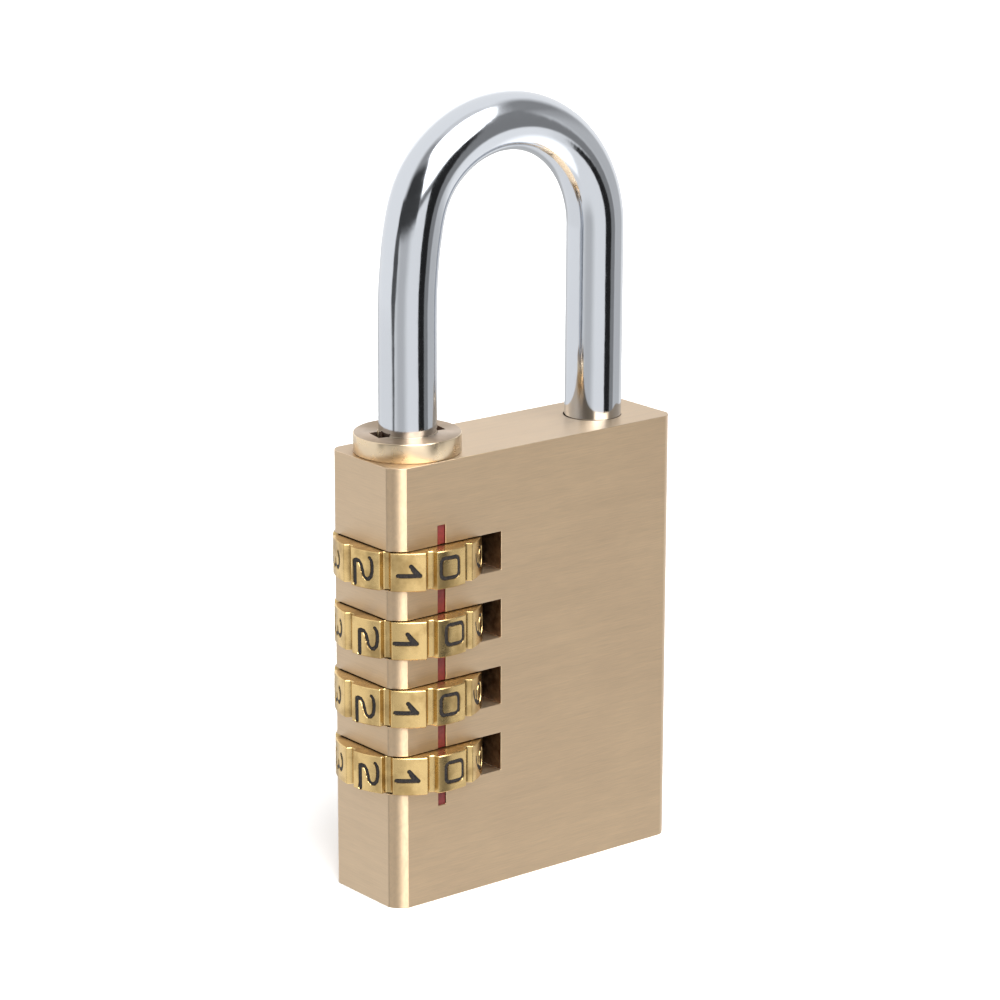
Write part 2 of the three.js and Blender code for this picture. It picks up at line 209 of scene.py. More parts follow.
def prism(points, low, high):
    bm = bmesh.new()
    lower = ring_of(bm, points, low)
    upper = ring_of(bm, points, high)
    bridge(bm, lower, upper)
    bm.faces.new(lower[::-1])
    bm.faces.new(upper)
    bmesh.ops.recalc_face_normals(bm, faces=bm.faces)
    return bm


def block(low, high):
    corners = [(low[0], low[1]), (high[0], low[1]), (high[0], high[1]), (low[0], high[1])]
    return prism(corners, low[2], high[2])


def turned(profile, steps):
    """A closed profile of (radius, z) points turned about the vertical axis."""
    bm = bmesh.new()
    loops = [ring_of(bm, circle(radius, steps), z) for radius, z in profile]
    for i, loop in enumerate(loops):
        bridge(bm, loop, loops[(i + 1) % len(loops)])
    bmesh.ops.recalc_face_normals(bm, faces=bm.faces)
    return bm


def moved(bm, x=0.0, turn=0.0):
    """bm turned about the upright axis, then moved along the front."""
    bm.transform(Matrix.Translation((x, 0, 0)) @ Matrix.Rotation(turn, 4, "Z"))
    return bm


def scratch_object(bm):
    mesh = bpy.data.meshes.new("scratch")
    bm.to_mesh(mesh)
    bm.free()
    made = bpy.data.objects.new("scratch", mesh)
    bpy.context.scene.collection.objects.link(made)
    return made


def evaluated_mesh(holder):
    depsgraph = bpy.context.evaluated_depsgraph_get()
    return bpy.data.meshes.new_from_object(holder.evaluated_get(depsgraph))


def cut(bm, tools, operation="DIFFERENCE"):
    """bm with each tool's solid taken away, or joined on."""
    holder = scratch_object(bm)
    for tool in tools:
        cutter = scratch_object(tool)
        step = holder.modifiers.new("cut", "BOOLEAN")
        step.operation = operation
        step.solver = "EXACT"
        step.object = cutter
        done = evaluated_mesh(holder)
        holder.modifiers.clear()
        holder.data = done
        bpy.data.objects.remove(cutter)
    made = bmesh.new()
    made.from_mesh(holder.data)
    bpy.data.objects.remove(holder)
    bmesh.ops.remove_doubles(made, verts=made.verts, dist=WELD)
    return made


def break_edges(bm, width, angle=35):
    """Sharp edges rounded by width, with the flats kept flat."""
    holder = scratch_object(bm)
    for face in holder.data.polygons:
        face.use_smooth = True
    step = holder.modifiers.new("edges", "BEVEL")
    step.width = width
    step.segments = 2
    step.limit_method = "ANGLE"
    step.angle_limit = rad(angle)
    step.harden_normals = True
    step.miter_outer = "MITER_ARC"
    mesh = evaluated_mesh(holder)
    bpy.data.objects.remove(holder)
    return mesh


def smooth_mesh(bm, angle=35):
    """The mesh shaded smooth, apart from edges sharper than the angle."""
    for face in bm.faces:
        face.smooth = True
    for edge in bm.edges:
        edge.smooth = edge.calc_face_angle(0) < rad(angle)
    mesh = bpy.data.meshes.new("shape")
    bm.to_mesh(mesh)
    bm.free()
    return mesh


def piece(name, mesh, materials, body, node):
    """A finished object that rides on a body and stands for a CAD node."""
    mesh.transform(Matrix.Scale(MM, 4))
    mesh.name = name
    for material in materials:
        mesh.materials.append(material)
    made = bpy.data.objects.new(name, mesh)
    bpy.context.scene.collection.objects.link(made)
    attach(made, body)
    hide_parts(node)


# ---- Node helpers ---------------------------------------------------------------------------
class Graph:
    """Short ways to add nodes to a tree and join them up."""

    def __init__(self, tree):
        self.tree = tree
        tree.nodes.clear()

    def node(self, kind, inputs=None, **settings):
        made = self.tree.nodes.new(kind)
        for name, value in settings.items():
            setattr(made, name, value)
        for key, value in (inputs or {}).items():
            self.feed(made.inputs[key], value)
        return made

    def feed(self, socket, value):
        if isinstance(value, bpy.types.NodeSocket):
            self.tree.links.new(value, socket)
        else:
            socket.default_value = value

    def place(self):
        """Object coordinates, in metres."""
        return self.node("ShaderNodeTexCoord").outputs["Object"]

    def math(self, operation, *values, clamp=False):
        made = self.node("ShaderNodeMath", operation=operation, use_clamp=clamp)
        for socket, value in zip(made.inputs, values):
            self.feed(socket, value)
        return made.outputs[0]

    def scaled(self, vector, scale):
        made = self.node("ShaderNodeVectorMath", {0: vector, 1: scale}, operation="MULTIPLY")
        return made.outputs["Vector"]

    def length(self, vector):
        made = self.node("ShaderNodeVectorMath", {0: vector}, operation="LENGTH")
        return made.outputs["Value"]

    def dot(self, vector, other):
        made = self.node("ShaderNodeVectorMath", {0: vector, 1: other}, operation="DOT_PRODUCT")
        return made.outputs["Value"]

    def noise(self, vector, scale=1.0, detail=3.0, roughness=0.5):
        inputs = {"Vector": vector, "Scale": scale, "Detail": detail, "Roughness": roughness}
        return self.node("ShaderNodeTexNoise", inputs).outputs["Fac"]

    def span(self, value, low, high, start=0.0, end=1.0, kind="LINEAR"):
        inputs = {"Value": value, "From Min": low, "From Max": high, "To Min": start, "To Max": end}
        return self.node("ShaderNodeMapRange", inputs, interpolation_type=kind).outputs["Result"]

    def mix(self, factor, first, second, kind="MIX"):
        made = self.node("ShaderNodeMix", data_type="RGBA", blend_type=kind)
        self.feed(made.inputs["Factor"], factor)
        self.feed(made.inputs["A"], first)
        self.feed(made.inputs["B"], second)
        return made.outputs["Result"]

    def mix_vector(self, factor, first, second):
        made = self.node("ShaderNodeMix", data_type="VECTOR")
        self.feed(made.inputs["Factor"], factor)
        self.feed(made.inputs[4], first)
        self.feed(made.inputs[5], second)
        return made.outputs[1]


def shader(name, **values):
    """A new material, its graph and its Principled shader with the values set on its sockets."""
    material = bpy.data.materials.new(name)
    material.use_nodes = True
    graph = Graph(material.node_tree)
    surface = graph.node("ShaderNodeBsdfPrincipled")
    for key, value in values.items():
        surface.inputs[key.replace("_", " ")].default_value = value
    output = graph.node("ShaderNodeOutputMaterial")
    graph.tree.links.new(surface.outputs[0], output.inputs["Surface"])
    return material, graph, surface


def bump(graph, surface, height, distance):
    """A relief of that many metres between the height's 0 and its 1."""
    inputs = {"Height": height, "Distance": distance, "Strength": 1.0}
    graph.feed(surface.inputs["Normal"], graph.node("ShaderNodeBump", inputs).outputs["Normal"])


def squareness(graph, axis):
    """How squarely a face looks along an axis, either way, from 0 to 1."""
    normal = graph.node("ShaderNodeNewGeometry").outputs["True Normal"]
    return graph.math("ABSOLUTE", graph.dot(normal, axis))


def facing_axis(graph):
    """1 on level faces, else 0; and 1 on faces square to the frame's axes, else 0."""
    along_x, along_y, along_z = [squareness(graph, axis) for axis in ((1, 0, 0), (0, 1, 0), (0, 0, 1))]
    level = graph.math("GREATER_THAN", along_z, 0.9)
    best = graph.math("MAXIMUM", graph.math("MAXIMUM", along_x, along_y), along_z)
    return level, graph.math("GREATER_THAN", best, 0.9995)


def brushed_place(graph, level, along, across):
    """Cells, per metre, that run level on the sides and lengthways on the top and bottom."""
    place = graph.place()
    sides = graph.scaled(place, (along, along, across))
    ends = graph.scaled(place, (along, across, along))
    return graph.mix_vector(level, sides, ends)


def satin_brass():
    """Ground faces with fine brush lines, the front and back ones brightened as painted light, and
    corners mottled instead.
    """
    material, graph, surface = shader(
        "satin_brass", Metallic=1.0, Anisotropic=0.9, Coat_Weight=0.3, Coat_Roughness=0.3
    )
    level, flat = facing_axis(graph)
    fine = graph.noise(brushed_place(graph, level, 330, 7000), detail=4.0, roughness=0.65)
    broad = graph.noise(brushed_place(graph, level, 70, 1300), detail=3.0)
    place = graph.place()
    mottle = graph.noise(graph.scaled(place, (2600, 2600, 1900)), detail=2.0)
    cloud = graph.noise(place, scale=120, detail=2.0)
    tint = graph.mix(graph.span(cloud, 0.3, 0.7), BRASS_TINT, BRASS_TINT_PALE)
    # Painted light: the front and back faces' colour is multiplied up, brighter than the tent lights
    # them.
    painted_light_faces = graph.math("GREATER_THAN", squareness(graph, (0, 1, 0)), 0.4)
    tint = graph.mix(painted_light_faces, tint, graph.mix(1.0, tint, WIDE_FACE_PAINTED_LIGHT, "MULTIPLY"))
    lines = graph.span(fine, 0.3, 0.7, 0.925, 1.065)
    bands = graph.span(broad, 0.3, 0.7, 0.97, 1.03)
    brushed = graph.math("MULTIPLY", lines, bands)
    mottled = graph.span(mottle, 0.3, 0.7, 0.94, 1.05)
    shade = graph.mix(flat, mottled, brushed)
    graph.feed(surface.inputs["Base Color"], graph.mix(1.0, tint, shade, "MULTIPLY"))
    corner_rough = graph.span(mottle, 0.3, 0.7, 0.36, 0.42)
    face_rough = graph.span(fine, 0.3, 0.7, 0.34, 0.44)
    graph.feed(surface.inputs["Roughness"], graph.mix(flat, corner_rough, face_rough))
    across_lines = graph.mix_vector(level, (0.0, 0.0, 1.0), (0.0, 1.0, 0.0))
    graph.feed(surface.inputs["Tangent"], across_lines)
    relief = graph.mix(flat, graph.math("MULTIPLY", mottle, 0.3), graph.math("ADD", fine, broad))
    bump(graph, surface, relief, 0.000010)
    return material


def recess_shade_brass():
    """The cut walls inside the slots and bores, dull, their dark brown colour standing in as painted
    shade.
    """
    material, graph, surface = shader("recess_shade_brass", Metallic=1.0)
    place = graph.place()
    cloud = graph.noise(place, scale=900, detail=4.0, roughness=0.65)
    # Painted shade: dark browns for the shade inside the slots and bores.
    tint = graph.mix(graph.span(cloud, 0.35, 0.65), (0.12, 0.075, 0.055, 1), (0.27, 0.185, 0.13, 1))
    graph.feed(surface.inputs["Base Color"], tint)
    graph.feed(surface.inputs["Roughness"], graph.span(cloud, 0.3, 0.7, 0.4, 0.6))
    bump(graph, surface, cloud, 0.00003)
    return material


def dial_brass():
    """Tarnished brass turned about the upright axis, darkened where the dial is hollow, partly dirt and
    partly painted shade.
    """
    material, graph, surface = shader(
        "dial_brass", Metallic=1.0, Anisotropic=0.6, Anisotropic_Rotation=0.25
    )
    place = graph.place()
    marks = graph.noise(graph.scaled(place, (60, 60, 6000)), detail=3.0)
    cloud = graph.noise(place, scale=420, detail=5.0, roughness=0.6)
    tarnish = graph.span(cloud, 0.42, 0.72, kind="SMOOTHSTEP")
    tint = graph.mix(tarnish, (0.78, 0.56, 0.25, 1), (0.5, 0.34, 0.14, 1))
    # Darkening from ambient occlusion in the grooves and figures: partly dirt, partly painted shade.
    sheltered = graph.node("ShaderNodeAmbientOcclusion", {"Distance": HOLLOW_DIRT_AND_SHADE_REACH}, samples=8)
    hollow_dirt_and_shade = graph.span(sheltered.outputs["AO"], 0.4, 0.93, 0.75, 0.0)
    patchy = graph.span(cloud, 0.3, 0.6, 0.75, 1.25)
    dirt_and_shade = graph.math("MULTIPLY", hollow_dirt_and_shade, patchy, clamp=True)
    graph.feed(surface.inputs["Base Color"], graph.mix(dirt_and_shade, tint, (0.10, 0.06, 0.025, 1)))
    graph.feed(surface.inputs["Roughness"], graph.span(cloud, 0.3, 0.7, 0.22, 0.34))
    bump(graph, surface, marks, 0.000005)
    return material


def collar_brass():
    """A turned bush: fine rings on its top, whose colour is darkened as painted shade, and a paler
    wall.
    """
    material, graph, surface = shader(
        "collar_brass", Metallic=1.0, Anisotropic=0.9, Anisotropic_Rotation=0.25
    )
    level, _ = facing_axis(graph)
    place = graph.place()
    shift = {0: place, 1: (-AXIS_X * MM, 0, 0)}
    centred = graph.node("ShaderNodeVectorMath", shift, operation="ADD").outputs[0]
    reach = graph.length(graph.scaled(centred, (1, 1, 0)))
    rings = graph.node("ShaderNodeCombineXYZ", {"X": graph.math("MULTIPLY", reach, 9000)}).outputs[0]
    top_marks = graph.noise(rings, detail=3.0)
    wall_marks = graph.noise(graph.scaled(place, (90, 90, 5000)), detail=3.0)
    cloud = graph.noise(place, scale=500, detail=4.0)
    patches = graph.span(cloud, 0.35, 0.65)
    wall_tint = graph.mix(patches, (0.80, 0.64, 0.43, 1), (0.76, 0.62, 0.44, 1))
    # Painted shade: the top's colour is made darker than the wall's.
    top_painted_shade_tint = graph.mix(patches, (0.45, 0.335, 0.235, 1), (0.38, 0.285, 0.195, 1))
    graph.feed(surface.inputs["Base Color"], graph.mix(level, wall_tint, top_painted_shade_tint))
    wall_rough = graph.span(cloud, 0.3, 0.7, 0.26, 0.3)
    top_rough = graph.span(cloud, 0.3, 0.7, 0.36, 0.42)
    graph.feed(surface.inputs["Roughness"], graph.mix(level, wall_rough, top_rough))
    bump(graph, surface, graph.mix(level, wall_marks, top_marks), 0.000004)
    return material


def chrome():
    """Bright chrome plate, a little rippled and hazed."""
    material, graph, surface = shader("chrome", Metallic=1.0)
    surface.inputs["Base Color"].default_value = (0.627, 0.655, 0.70, 1)
    place = graph.place()
    ripple = graph.noise(graph.scaled(place, (700, 700, 300)), detail=2.0)
    haze = graph.noise(place, scale=900, detail=3.0)
    graph.feed(surface.inputs["Roughness"], graph.span(haze, 0.3, 0.7, 0.075, 0.125))
    bump(graph, surface, ripple, 0.000012)
    return material


def spring_steel():
    """Plain drawn steel."""
    material, graph, surface = shader("spring_steel", Metallic=1.0)
    place = graph.place()
    drawn = graph.noise(graph.scaled(place, (2500, 2500, 700)), detail=3.0)
    tint = graph.mix(drawn, (0.50, 0.51, 0.53, 1), (0.36, 0.36, 0.38, 1))
    graph.feed(surface.inputs["Base Color"], tint)
    graph.feed(surface.inputs["Roughness"], graph.span(drawn, 0.3, 0.7, 0.28, 0.42))
    bump(graph, surface, drawn, 0.000008)
    return material


def red_enamel():
    """Satin red lacquer, slightly clouded."""
    material, graph, surface = shader("red_enamel", Coat_Weight=0.15, Coat_Roughness=0.3)
    place = graph.place()
    cloud = graph.noise(place, scale=1800, detail=4.0)
    tint = graph.mix(graph.span(cloud, 0.35, 0.65), (0.155, 0.012, 0.010, 1), (0.11, 0.008, 0.007, 1))
    graph.feed(surface.inputs["Base Color"], tint)
    graph.feed(surface.inputs["Roughness"], graph.span(cloud, 0.3, 0.7, 0.4, 0.55))
    bump(graph, surface, cloud, 0.00002)
    return material


def figure_paint():
    """Black filling paint with a fine grain."""
    material, graph, surface = shader("figure_paint", Specular_IOR_Level=0.2)
    place = graph.place()
    grain = graph.noise(place, scale=6000, detail=3.0)
    tint = graph.mix(graph.span(grain, 0.35, 0.65), (0.010, 0.009, 0.010, 1), (0.03, 0.024, 0.02, 1))
    graph.feed(surface.inputs["Base Color"], tint)
    graph.feed(surface.inputs["Roughness"], graph.span(grain, 0.3, 0.7, 0.35, 0.6))
    bump(graph, surface, grain, 0.00001)
    return material


BRASS_TINT = (0.59, 0.447, 0.30, 1)
BRASS_TINT_PALE = (0.62, 0.472, 0.315, 1)
# Gain that brightens the front and back faces' colour as painted light.
WIDE_FACE_PAINTED_LIGHT = (1.23, 1.205, 1.17, 1)
# How far the dials' darkening of dirt and painted shade reaches into hollows.
HOLLOW_DIRT_AND_SHADE_REACH = 0.0009
SATIN_BRASS = satin_brass()
# Dark brown painted shade for the walls inside the slots and bores.
RECESS_SHADE_BRASS = recess_shade_brass()
COLLAR_BRASS = collar_brass()
DIAL_BRASS = dial_brass()
CHROME = chrome()
SPRING_STEEL = spring_steel()
RED_ENAMEL = red_enamel()
FIGURE_PAINT = figure_paint()


# ---- Body -----------------------------------------------------------------------------------
def body_outline():
    """The block seen from above: drawn with round corners, then its faces ground a little flat."""
    half_x = (BODY_HIGH.x - BODY_LOW.x) / 2 + SIDE_SWELL
    middle_x = (BODY_HIGH.x + BODY_LOW.x) / 2
    points = []
    for side, face in ((1, -1), (1, 1), (-1, 1), (-1, -1)):
        radius = DIAL_CORNER_RADIUS if side == face == -1 else CORNER_RADIUS
        inset_x = half_x - radius * math.cos(CORNER_STEP)
        inset_y = BODY_HIGH.y - radius * math.cos(CORNER_STEP)
        curve_points = [
            (middle_x + side * (inset_x + x), face * (inset_y + y))
            for x, y in arc(radius, CORNER_STEP, rad(90) - CORNER_STEP, CORNER_ARC_STEPS)
        ]
        points += curve_points if side == face else curve_points[::-1]
    return points


def slot_heights(dial_box):
    low = dial_box[0].z - DIAL_FLOOR_GAP
    return low, low + SLOT_HEIGHT


def body_tools():
    """What is milled and drilled out of the block."""
    tools = [moved(prism(circle(BORE_RADIUS, 128), BORE_FLOOR, BODY_TOP + OVERCUT), AXIS_X)]
    tools.append(moved(prism(circle(TOE_HOLE_RADIUS, 96), TOE_HOLE_FLOOR, BODY_TOP + OVERCUT), TOE_X))
    end = AXIS_X + SLOT_REACH
    for dial_box in DIAL_BOXES:
        low, high = slot_heights(dial_box)
        outer = BODY_HIGH.y + OVERCUT
        tools.append(block((BODY_LOW.x - OVERCUT, -outer, low), (end, outer, high)))
        middle = (low + high) / 2
        tools.append(
            block(
                (end - OVERCUT, -POCKET_HALF_WIDTH, middle - POCKET_HALF_HEIGHT),
                (end + POCKET_DEPTH, POCKET_HALF_WIDTH, middle + POCKET_HALF_HEIGHT),
            )
        )
    half = LINE_WIDTH / 2
    line_low = box_mm("index_enamel_5")[0].z
    line_high = box_mm("index_enamel_1")[1].z
    tools.append(
        block(
            (AXIS_X - half, FRONT_Y - OVERCUT, line_low),
            (AXIS_X + half, FRONT_Y + LINE_DEPTH, line_high),
        )
    )
    return tools


def is_recess_shade_wall(face):
    """True for the upright walls inside the slots and bores, not for the block's outside."""
    place = face.center
    return (
        abs(face.normal.z) < 0.5
        and abs(place.y) < BODY_HIGH.y - SKIN
        and BODY_LOW.x + CORNER_REACH < place.x < BODY_HIGH.x - CORNER_REACH
    )


def lock_body():
    """The brass block, cut out, its edges broken."""
    solid = cut(prism(body_outline(), BODY_LOW.z, BODY_HIGH.z), body_tools())
    for edge in solid.edges:
        edge.smooth = edge.calc_face_angle(0) < CORNER_CREASE
    mesh = break_edges(solid, EDGE_BREAK)
    for face in mesh.polygons:
        # Walls inside the slots and bores get the dark brown of painted shade.
        face.material_index = 1 if is_recess_shade_wall(face) else 0
    piece("lock_block", mesh, [SATIN_BRASS, RECESS_SHADE_BRASS], "lock", "lock_body")


def enamel(index):
    """A stretch of the index line, its face a little uneven where the lacquer settled."""
    node = f"index_enamel_{index}"
    low, high = box_mm(node)
    across = ENAMEL_CELLS_ACROSS
    down = round((high.z - low.z) / ENAMEL_CELL)
    bm = bmesh.new()
    face = []
    for j in range(down + 1):
        row = []
        for i in range(across + 1):
            x = low.x + (high.x - low.x) * i / across
            z = low.z + (high.z - low.z) * j / down
            inside = 0 < i < across and 0 < j < down
            sink = ENAMEL_EDGE_SINK
            if inside:
                wave = noise.noise((x * ENAMEL_WAVES, z * ENAMEL_WAVES, index))
                sink = max(ENAMEL_SINK * wave + ENAMEL_SINK, 0)
            row.append(bm.verts.new((x, low.y + sink, z)))
        face.append(row)
    for j in range(down):
        for i in range(across):
            bm.faces.new((face[j][i], face[j][i + 1], face[j + 1][i + 1], face[j + 1][i]))
    back = bmesh.ops.extrude_face_region(bm, geom=bm.faces[:])["geom"]
    for vert in [g for g in back if isinstance(g, bmesh.types.BMVert)]:
        vert.co.y = high.y
    bmesh.ops.recalc_face_normals(bm, faces=bm.faces)
    piece(f"index_line_{index}", smooth_mesh(bm, 60), [RED_ENAMEL], "lock", node)


# ---- Collar ---------------------------------------------------------------------------------
def collar():
    """The turned bush round the long leg, with its two spanner slots."""
    top = COLLAR_HIGH.z
    seat = BODY_TOP + COLLAR_SEAT_GAP
    rim = COLLAR_RIM
    outer = arc(rim, 0, rad(90), 8, (COLLAR_RADIUS - rim, top - rim))
    profile = [
        (COLLAR_BORE, COLLAR_LOW.z),
        (COLLAR_SPIGOT, COLLAR_LOW.z),
        (COLLAR_SPIGOT, seat),
        (COLLAR_RADIUS - COLLAR_FOOT_BREAK, seat),
        (COLLAR_RADIUS, seat + COLLAR_FOOT_BREAK),
        *outer,
        (COLLAR_BORE + COLLAR_BORE_BREAK, top),
        (COLLAR_BORE, top - COLLAR_BORE_BREAK),
    ]
    width, reach, depth = SPANNER_SLOT
    bar = block((-reach, -width / 2, top - depth), (reach, width / 2, top + OVERCUT))
    solid = cut(turned(profile, COLLAR_STEPS), [moved(bar, turn=SPANNER_ANGLE)])
    mesh = break_edges(moved(solid, AXIS_X), COLLAR_BORE_BREAK, angle=50)
    for face in mesh.polygons:
        place = face.center
        out = math.hypot(place.x - AXIS_X, place.y)
        at_slot_height = top - depth - SKIN < place.z < top - 2 * COLLAR_BORE_BREAK
        at_slot_reach = COLLAR_BORE + SKIN / 2 < out < reach + SKIN
        # Faces inside the spanner slots get the dark brown of painted shade.
        face.material_index = 1 if at_slot_height and at_slot_reach else 0
    piece("collar_bush", mesh, [COLLAR_BRASS, RECESS_SHADE_BRASS], "lock", "collar")


# ---- Shackle --------------------------------------------------------------------------------
def leg_profile():
    """(radius, z) of the long leg, from its foot up to the bow."""
    groove_low, groove_high = RING_GROOVE
    foot = SHACKLE_LOW.z
    return [
        (CORE_RADIUS - FOOT_CHAMFER, foot),
        (CORE_RADIUS, foot + FOOT_CHAMFER),
        (CORE_RADIUS, groove_low),
        (RING_GROOVE_RADIUS, groove_low),
        (RING_GROOVE_RADIUS, groove_high),
        (CORE_RADIUS, groove_high),
        (CORE_RADIUS, SHOULDER_Z),
        (SEEN_BAR_RADIUS - SHOULDER_CHAMFER, SHOULDER_Z),
        (SEEN_BAR_RADIUS, SHOULDER_Z + SHOULDER_CHAMFER),
    ]


def toe_profile():
    """(radius, z) of the toe leg, from the bow down to its rounded end."""
    return arc(TOE_CHAMFER, 0, rad(-90), 8, (SEEN_BAR_RADIUS - TOE_CHAMFER, TOE_END + TOE_CHAMFER))


def bow_radius(angle):
    """The bent bow's radius: it is pulled in where the long leg's bend starts."""
    return BOW_RADIUS - BOW_DENT * math.exp(-(((angle - BOW_DENT_ANGLE) / BOW_DENT_SPREAD) ** 2))


def fin(z):
    """One fin on the left of the long leg."""
    half_angle = math.asin(FIN_WIDTH / 2 / FIN_RADIUS)
    tip = arc(FIN_RADIUS, math.pi - half_angle, math.pi + half_angle, 8)
    points = [*tip, (-OVERCUT, -FIN_WIDTH / 2), (-OVERCUT, FIN_WIDTH / 2)]
    return moved(prism(points, z + FIN_TOP - FIN_HEIGHT, z + FIN_TOP), AXIS_X)


def shackle():
    """The bent bar, ring by ring from the long leg's foot over the bow to the toe, with its fins."""
    bm = bmesh.new()
    loops = []

    def station(x, z, lean, radius):
        """A ring of the bar at x, z whose plane leans by that angle from level."""
        centre = Vector((x, 0, z))
        inward = Vector((math.cos(lean), 0, math.sin(lean)))
        loop = []
        for i in range(BAR_SIDES):
            t = TAU * i / BAR_SIDES
            offset = inward * (radius * math.cos(t)) + Vector((0, radius * math.sin(t), 0))
            loop.append(bm.verts.new(centre + offset))
        loops.append(loop)

    for radius, z in leg_profile():
        station(AXIS_X, z, 0, radius)
    leg_x = BOW_CENTRE_X - BOW_RADIUS
    station(leg_x, BODY_TOP, 0, SEEN_BAR_RADIUS)
    for i in range(LEG_STEPS):
        drop = (BOW_CENTRE_Z - BODY_TOP - LEG_STRAIGHT) * (1 - i / LEG_STEPS)
        angle = math.pi + math.atan(drop / BOW_RADIUS)
        station(BOW_CENTRE_X - bow_radius(angle), BOW_CENTRE_Z - drop, 0, SEEN_BAR_RADIUS)
    for i in range(BOW_STEPS + 1):
        angle = math.pi * (1 - i / BOW_STEPS)
        radius = bow_radius(angle)
        x = BOW_CENTRE_X + radius * math.cos(angle)
        station(x, BOW_CENTRE_Z + radius * math.sin(angle), angle - math.pi, SEEN_BAR_RADIUS)
    station(TOE_X + TOE_LEAN, BODY_TOP + LEG_STRAIGHT, -math.pi, SEEN_BAR_RADIUS)
    for radius, z in toe_profile():
        station(TOE_X, z, -math.pi, radius)
    for lower, upper in zip(loops, loops[1:]):
        bridge(bm, lower, upper)
    bm.faces.new(loops[0][::-1])
    bm.faces.new(loops[-1])
    bmesh.ops.recalc_face_normals(bm, faces=bm.faces)
    heights = [sum(slot_heights(dial_box)) / 2 for dial_box in DIAL_BOXES]
    solid = cut(bm, [fin(z) for z in heights], "UNION")
    piece("shackle_bar", smooth_mesh(solid), [CHROME], "shackle", "shackle")


# ---- Figures on the dials -------------------------------------------------------------------
# Where the 0, 1, 2 and 3 were stamped on each dial, (right, up) from the middle of the plate, in mm.
STAMP_SLIPS = [
    [(-0.15, -0.29), (0.0, 0.07), (0.0, -0.15), (0.0, -0.35)],
    [(-0.33, 0.29), (-0.1, -0.4), (0.1, 0.39), (0.0, -0.1)],
    [(-0.11, -0.28), (0.02, -0.26), (0.15, 0.04), (0.0, -0.35)],
    [(-0.04, 0.19), (0.1, -0.32), (0.1, 0.29), (0.0, -0.2)],
]


def bowl(cx, cy, rx, ry, start, end, steps=14):
    """Points along part of an ellipse, angles in degrees."""
    turns = [rad(start + (end - start) * i / steps) for i in range(steps + 1)]
    return [(cx + rx * math.cos(t), cy + ry * math.sin(t)) for t in turns]


def curve(start, pull, end):
    """Points along a quadratic curve."""
    points = []
    for t in [i / CURVE_STEPS for i in range(CURVE_STEPS + 1)]:
        a, b, c = (1 - t) ** 2, 2 * t * (1 - t), t * t
        points.append(tuple(a * s + b * p + c * e for s, p, e in zip(start, pull, end)))
    return points


def round_loop(half_width, half_height, corner):
    """A rounded rectangle in two halves that meet end to end."""
    w, h, r = half_width - corner, half_height - corner, corner
    right = bowl(w, -h, r, r, -90, 0, 8) + bowl(w, h, r, r, 0, 90, 8)
    right = [(0, -half_height), *right, (0, half_height)]
    return [right, [(-x, -y) for x, y in right]]


def turned_over(strokes):
    return [([(-x, -y) for x, y in points], weight) for points, weight in strokes]


def figure_strokes():
    """Each figure's strokes about its middle, x to its right and y up: (points, weight)."""
    w, h = FIGURE_WIDTH / 2, FIGURE_HEIGHT / 2
    one_flag = [([(-0.74, 0.22), (0.38, 1.2)], 1.15), ([(-0.42, 0.42), (0.38, 0.88)], 1.2)]
    two_foot = ([(-0.74, -1.22), (1.74, -1.2)], 1.5)
    two_bend = ([(-0.78, -1.2), (-0.92, -0.9), (-0.86, -0.55), (-0.5, -0.27), (0.2, -0.05)], 1.2)
    two_bowl = [(0.2, -0.05), (0.78, 0.12), (1.03, 0.4), (1.02, 0.76), (0.66, 1.08)]
    two_bowl += [(0.1, 1.2), (-0.55, 1.22), (-1.08, 1.13), (-1.42, 0.9)]
    low_ring = [bowl(0, -h + 0.82, w, 0.82, a, a + 180) for a in (-90, 90)]
    six = [(half, 1.0) for half in low_ring]
    six.append((curve((-w, -h + 0.82), (-w, 0.75 * h), (0.55 * w, h)), 1.0))
    eight = [(bowl(0, -h + 0.68, w, 0.68, a, a + 180), 1.0) for a in (-90, 90)]
    eight += [(bowl(0, h - 0.56, 0.86 * w, 0.54, a, a + 180), 1.0) for a in (-90, 90)]
    three_top = bowl(-0.1, h - 0.6, 0.86 * w, 0.6, 150, -80)
    three_low = bowl(-0.1, -h + 0.62, w, 0.62, 82, -150)
    five = bowl(-0.08, -h + 0.8, w, 0.8, 128, -148)
    return [
        [(half, 1.1) for half in round_loop(w, h, 0.55)],
        [([(0.38, -1.22), (0.38, 1.2)], 1.25), *one_flag],
        [two_foot, two_bend, (two_bowl, 1.0)],
        [(three_top, 1.2), (three_low, 1.25)],
        [([(0.4, -h), (0.4, h)], 1.0), ([(0.4, h), (-w, -0.45 * h), (w, -0.45 * h)], 1.0)],
        [([(0.8 * w, h), (-0.72 * w, h), (-0.78 * w, five[0][1])], 1.0), (five, 1.0)],
        six,
        [([(-w, h), (w, h)], 1.25), (curve((w, h), (0.1, 0.2), (-0.35, -h)), 1.0)],
        eight,
        turned_over(six),
    ]


def stamped(strokes, right, up):
    """A figure's strokes moved to where the stamp happened to land."""
    return [([(x + right, y + up) for x, y in points], weight) for points, weight in strokes]


def stamp_slip(dial, digit):
    """How far (right, up) a figure landed from the middle of its plate."""
    if digit < len(STAMP_SLIPS[dial]):
        return STAMP_SLIPS[dial][digit]
    return 0.15 * math.sin(7 * digit + 3 * dial), 0.3 * math.sin(5 * digit + 2 * dial)


def distance_to(strokes, point):
    """Distance from a point to the nearest stroke's middle line, over that stroke's weight."""
    best = 1e9
    p = Vector(point)
    for points, weight in strokes:
        for a, b in zip(points, points[1:]):
            start, along = Vector(a), Vector(b) - Vector(a)
            t = max(0.0, min(1.0, (p - start).dot(along) / along.length_squared))
            best = min(best, (p - start - along * t).length / weight)
    return best


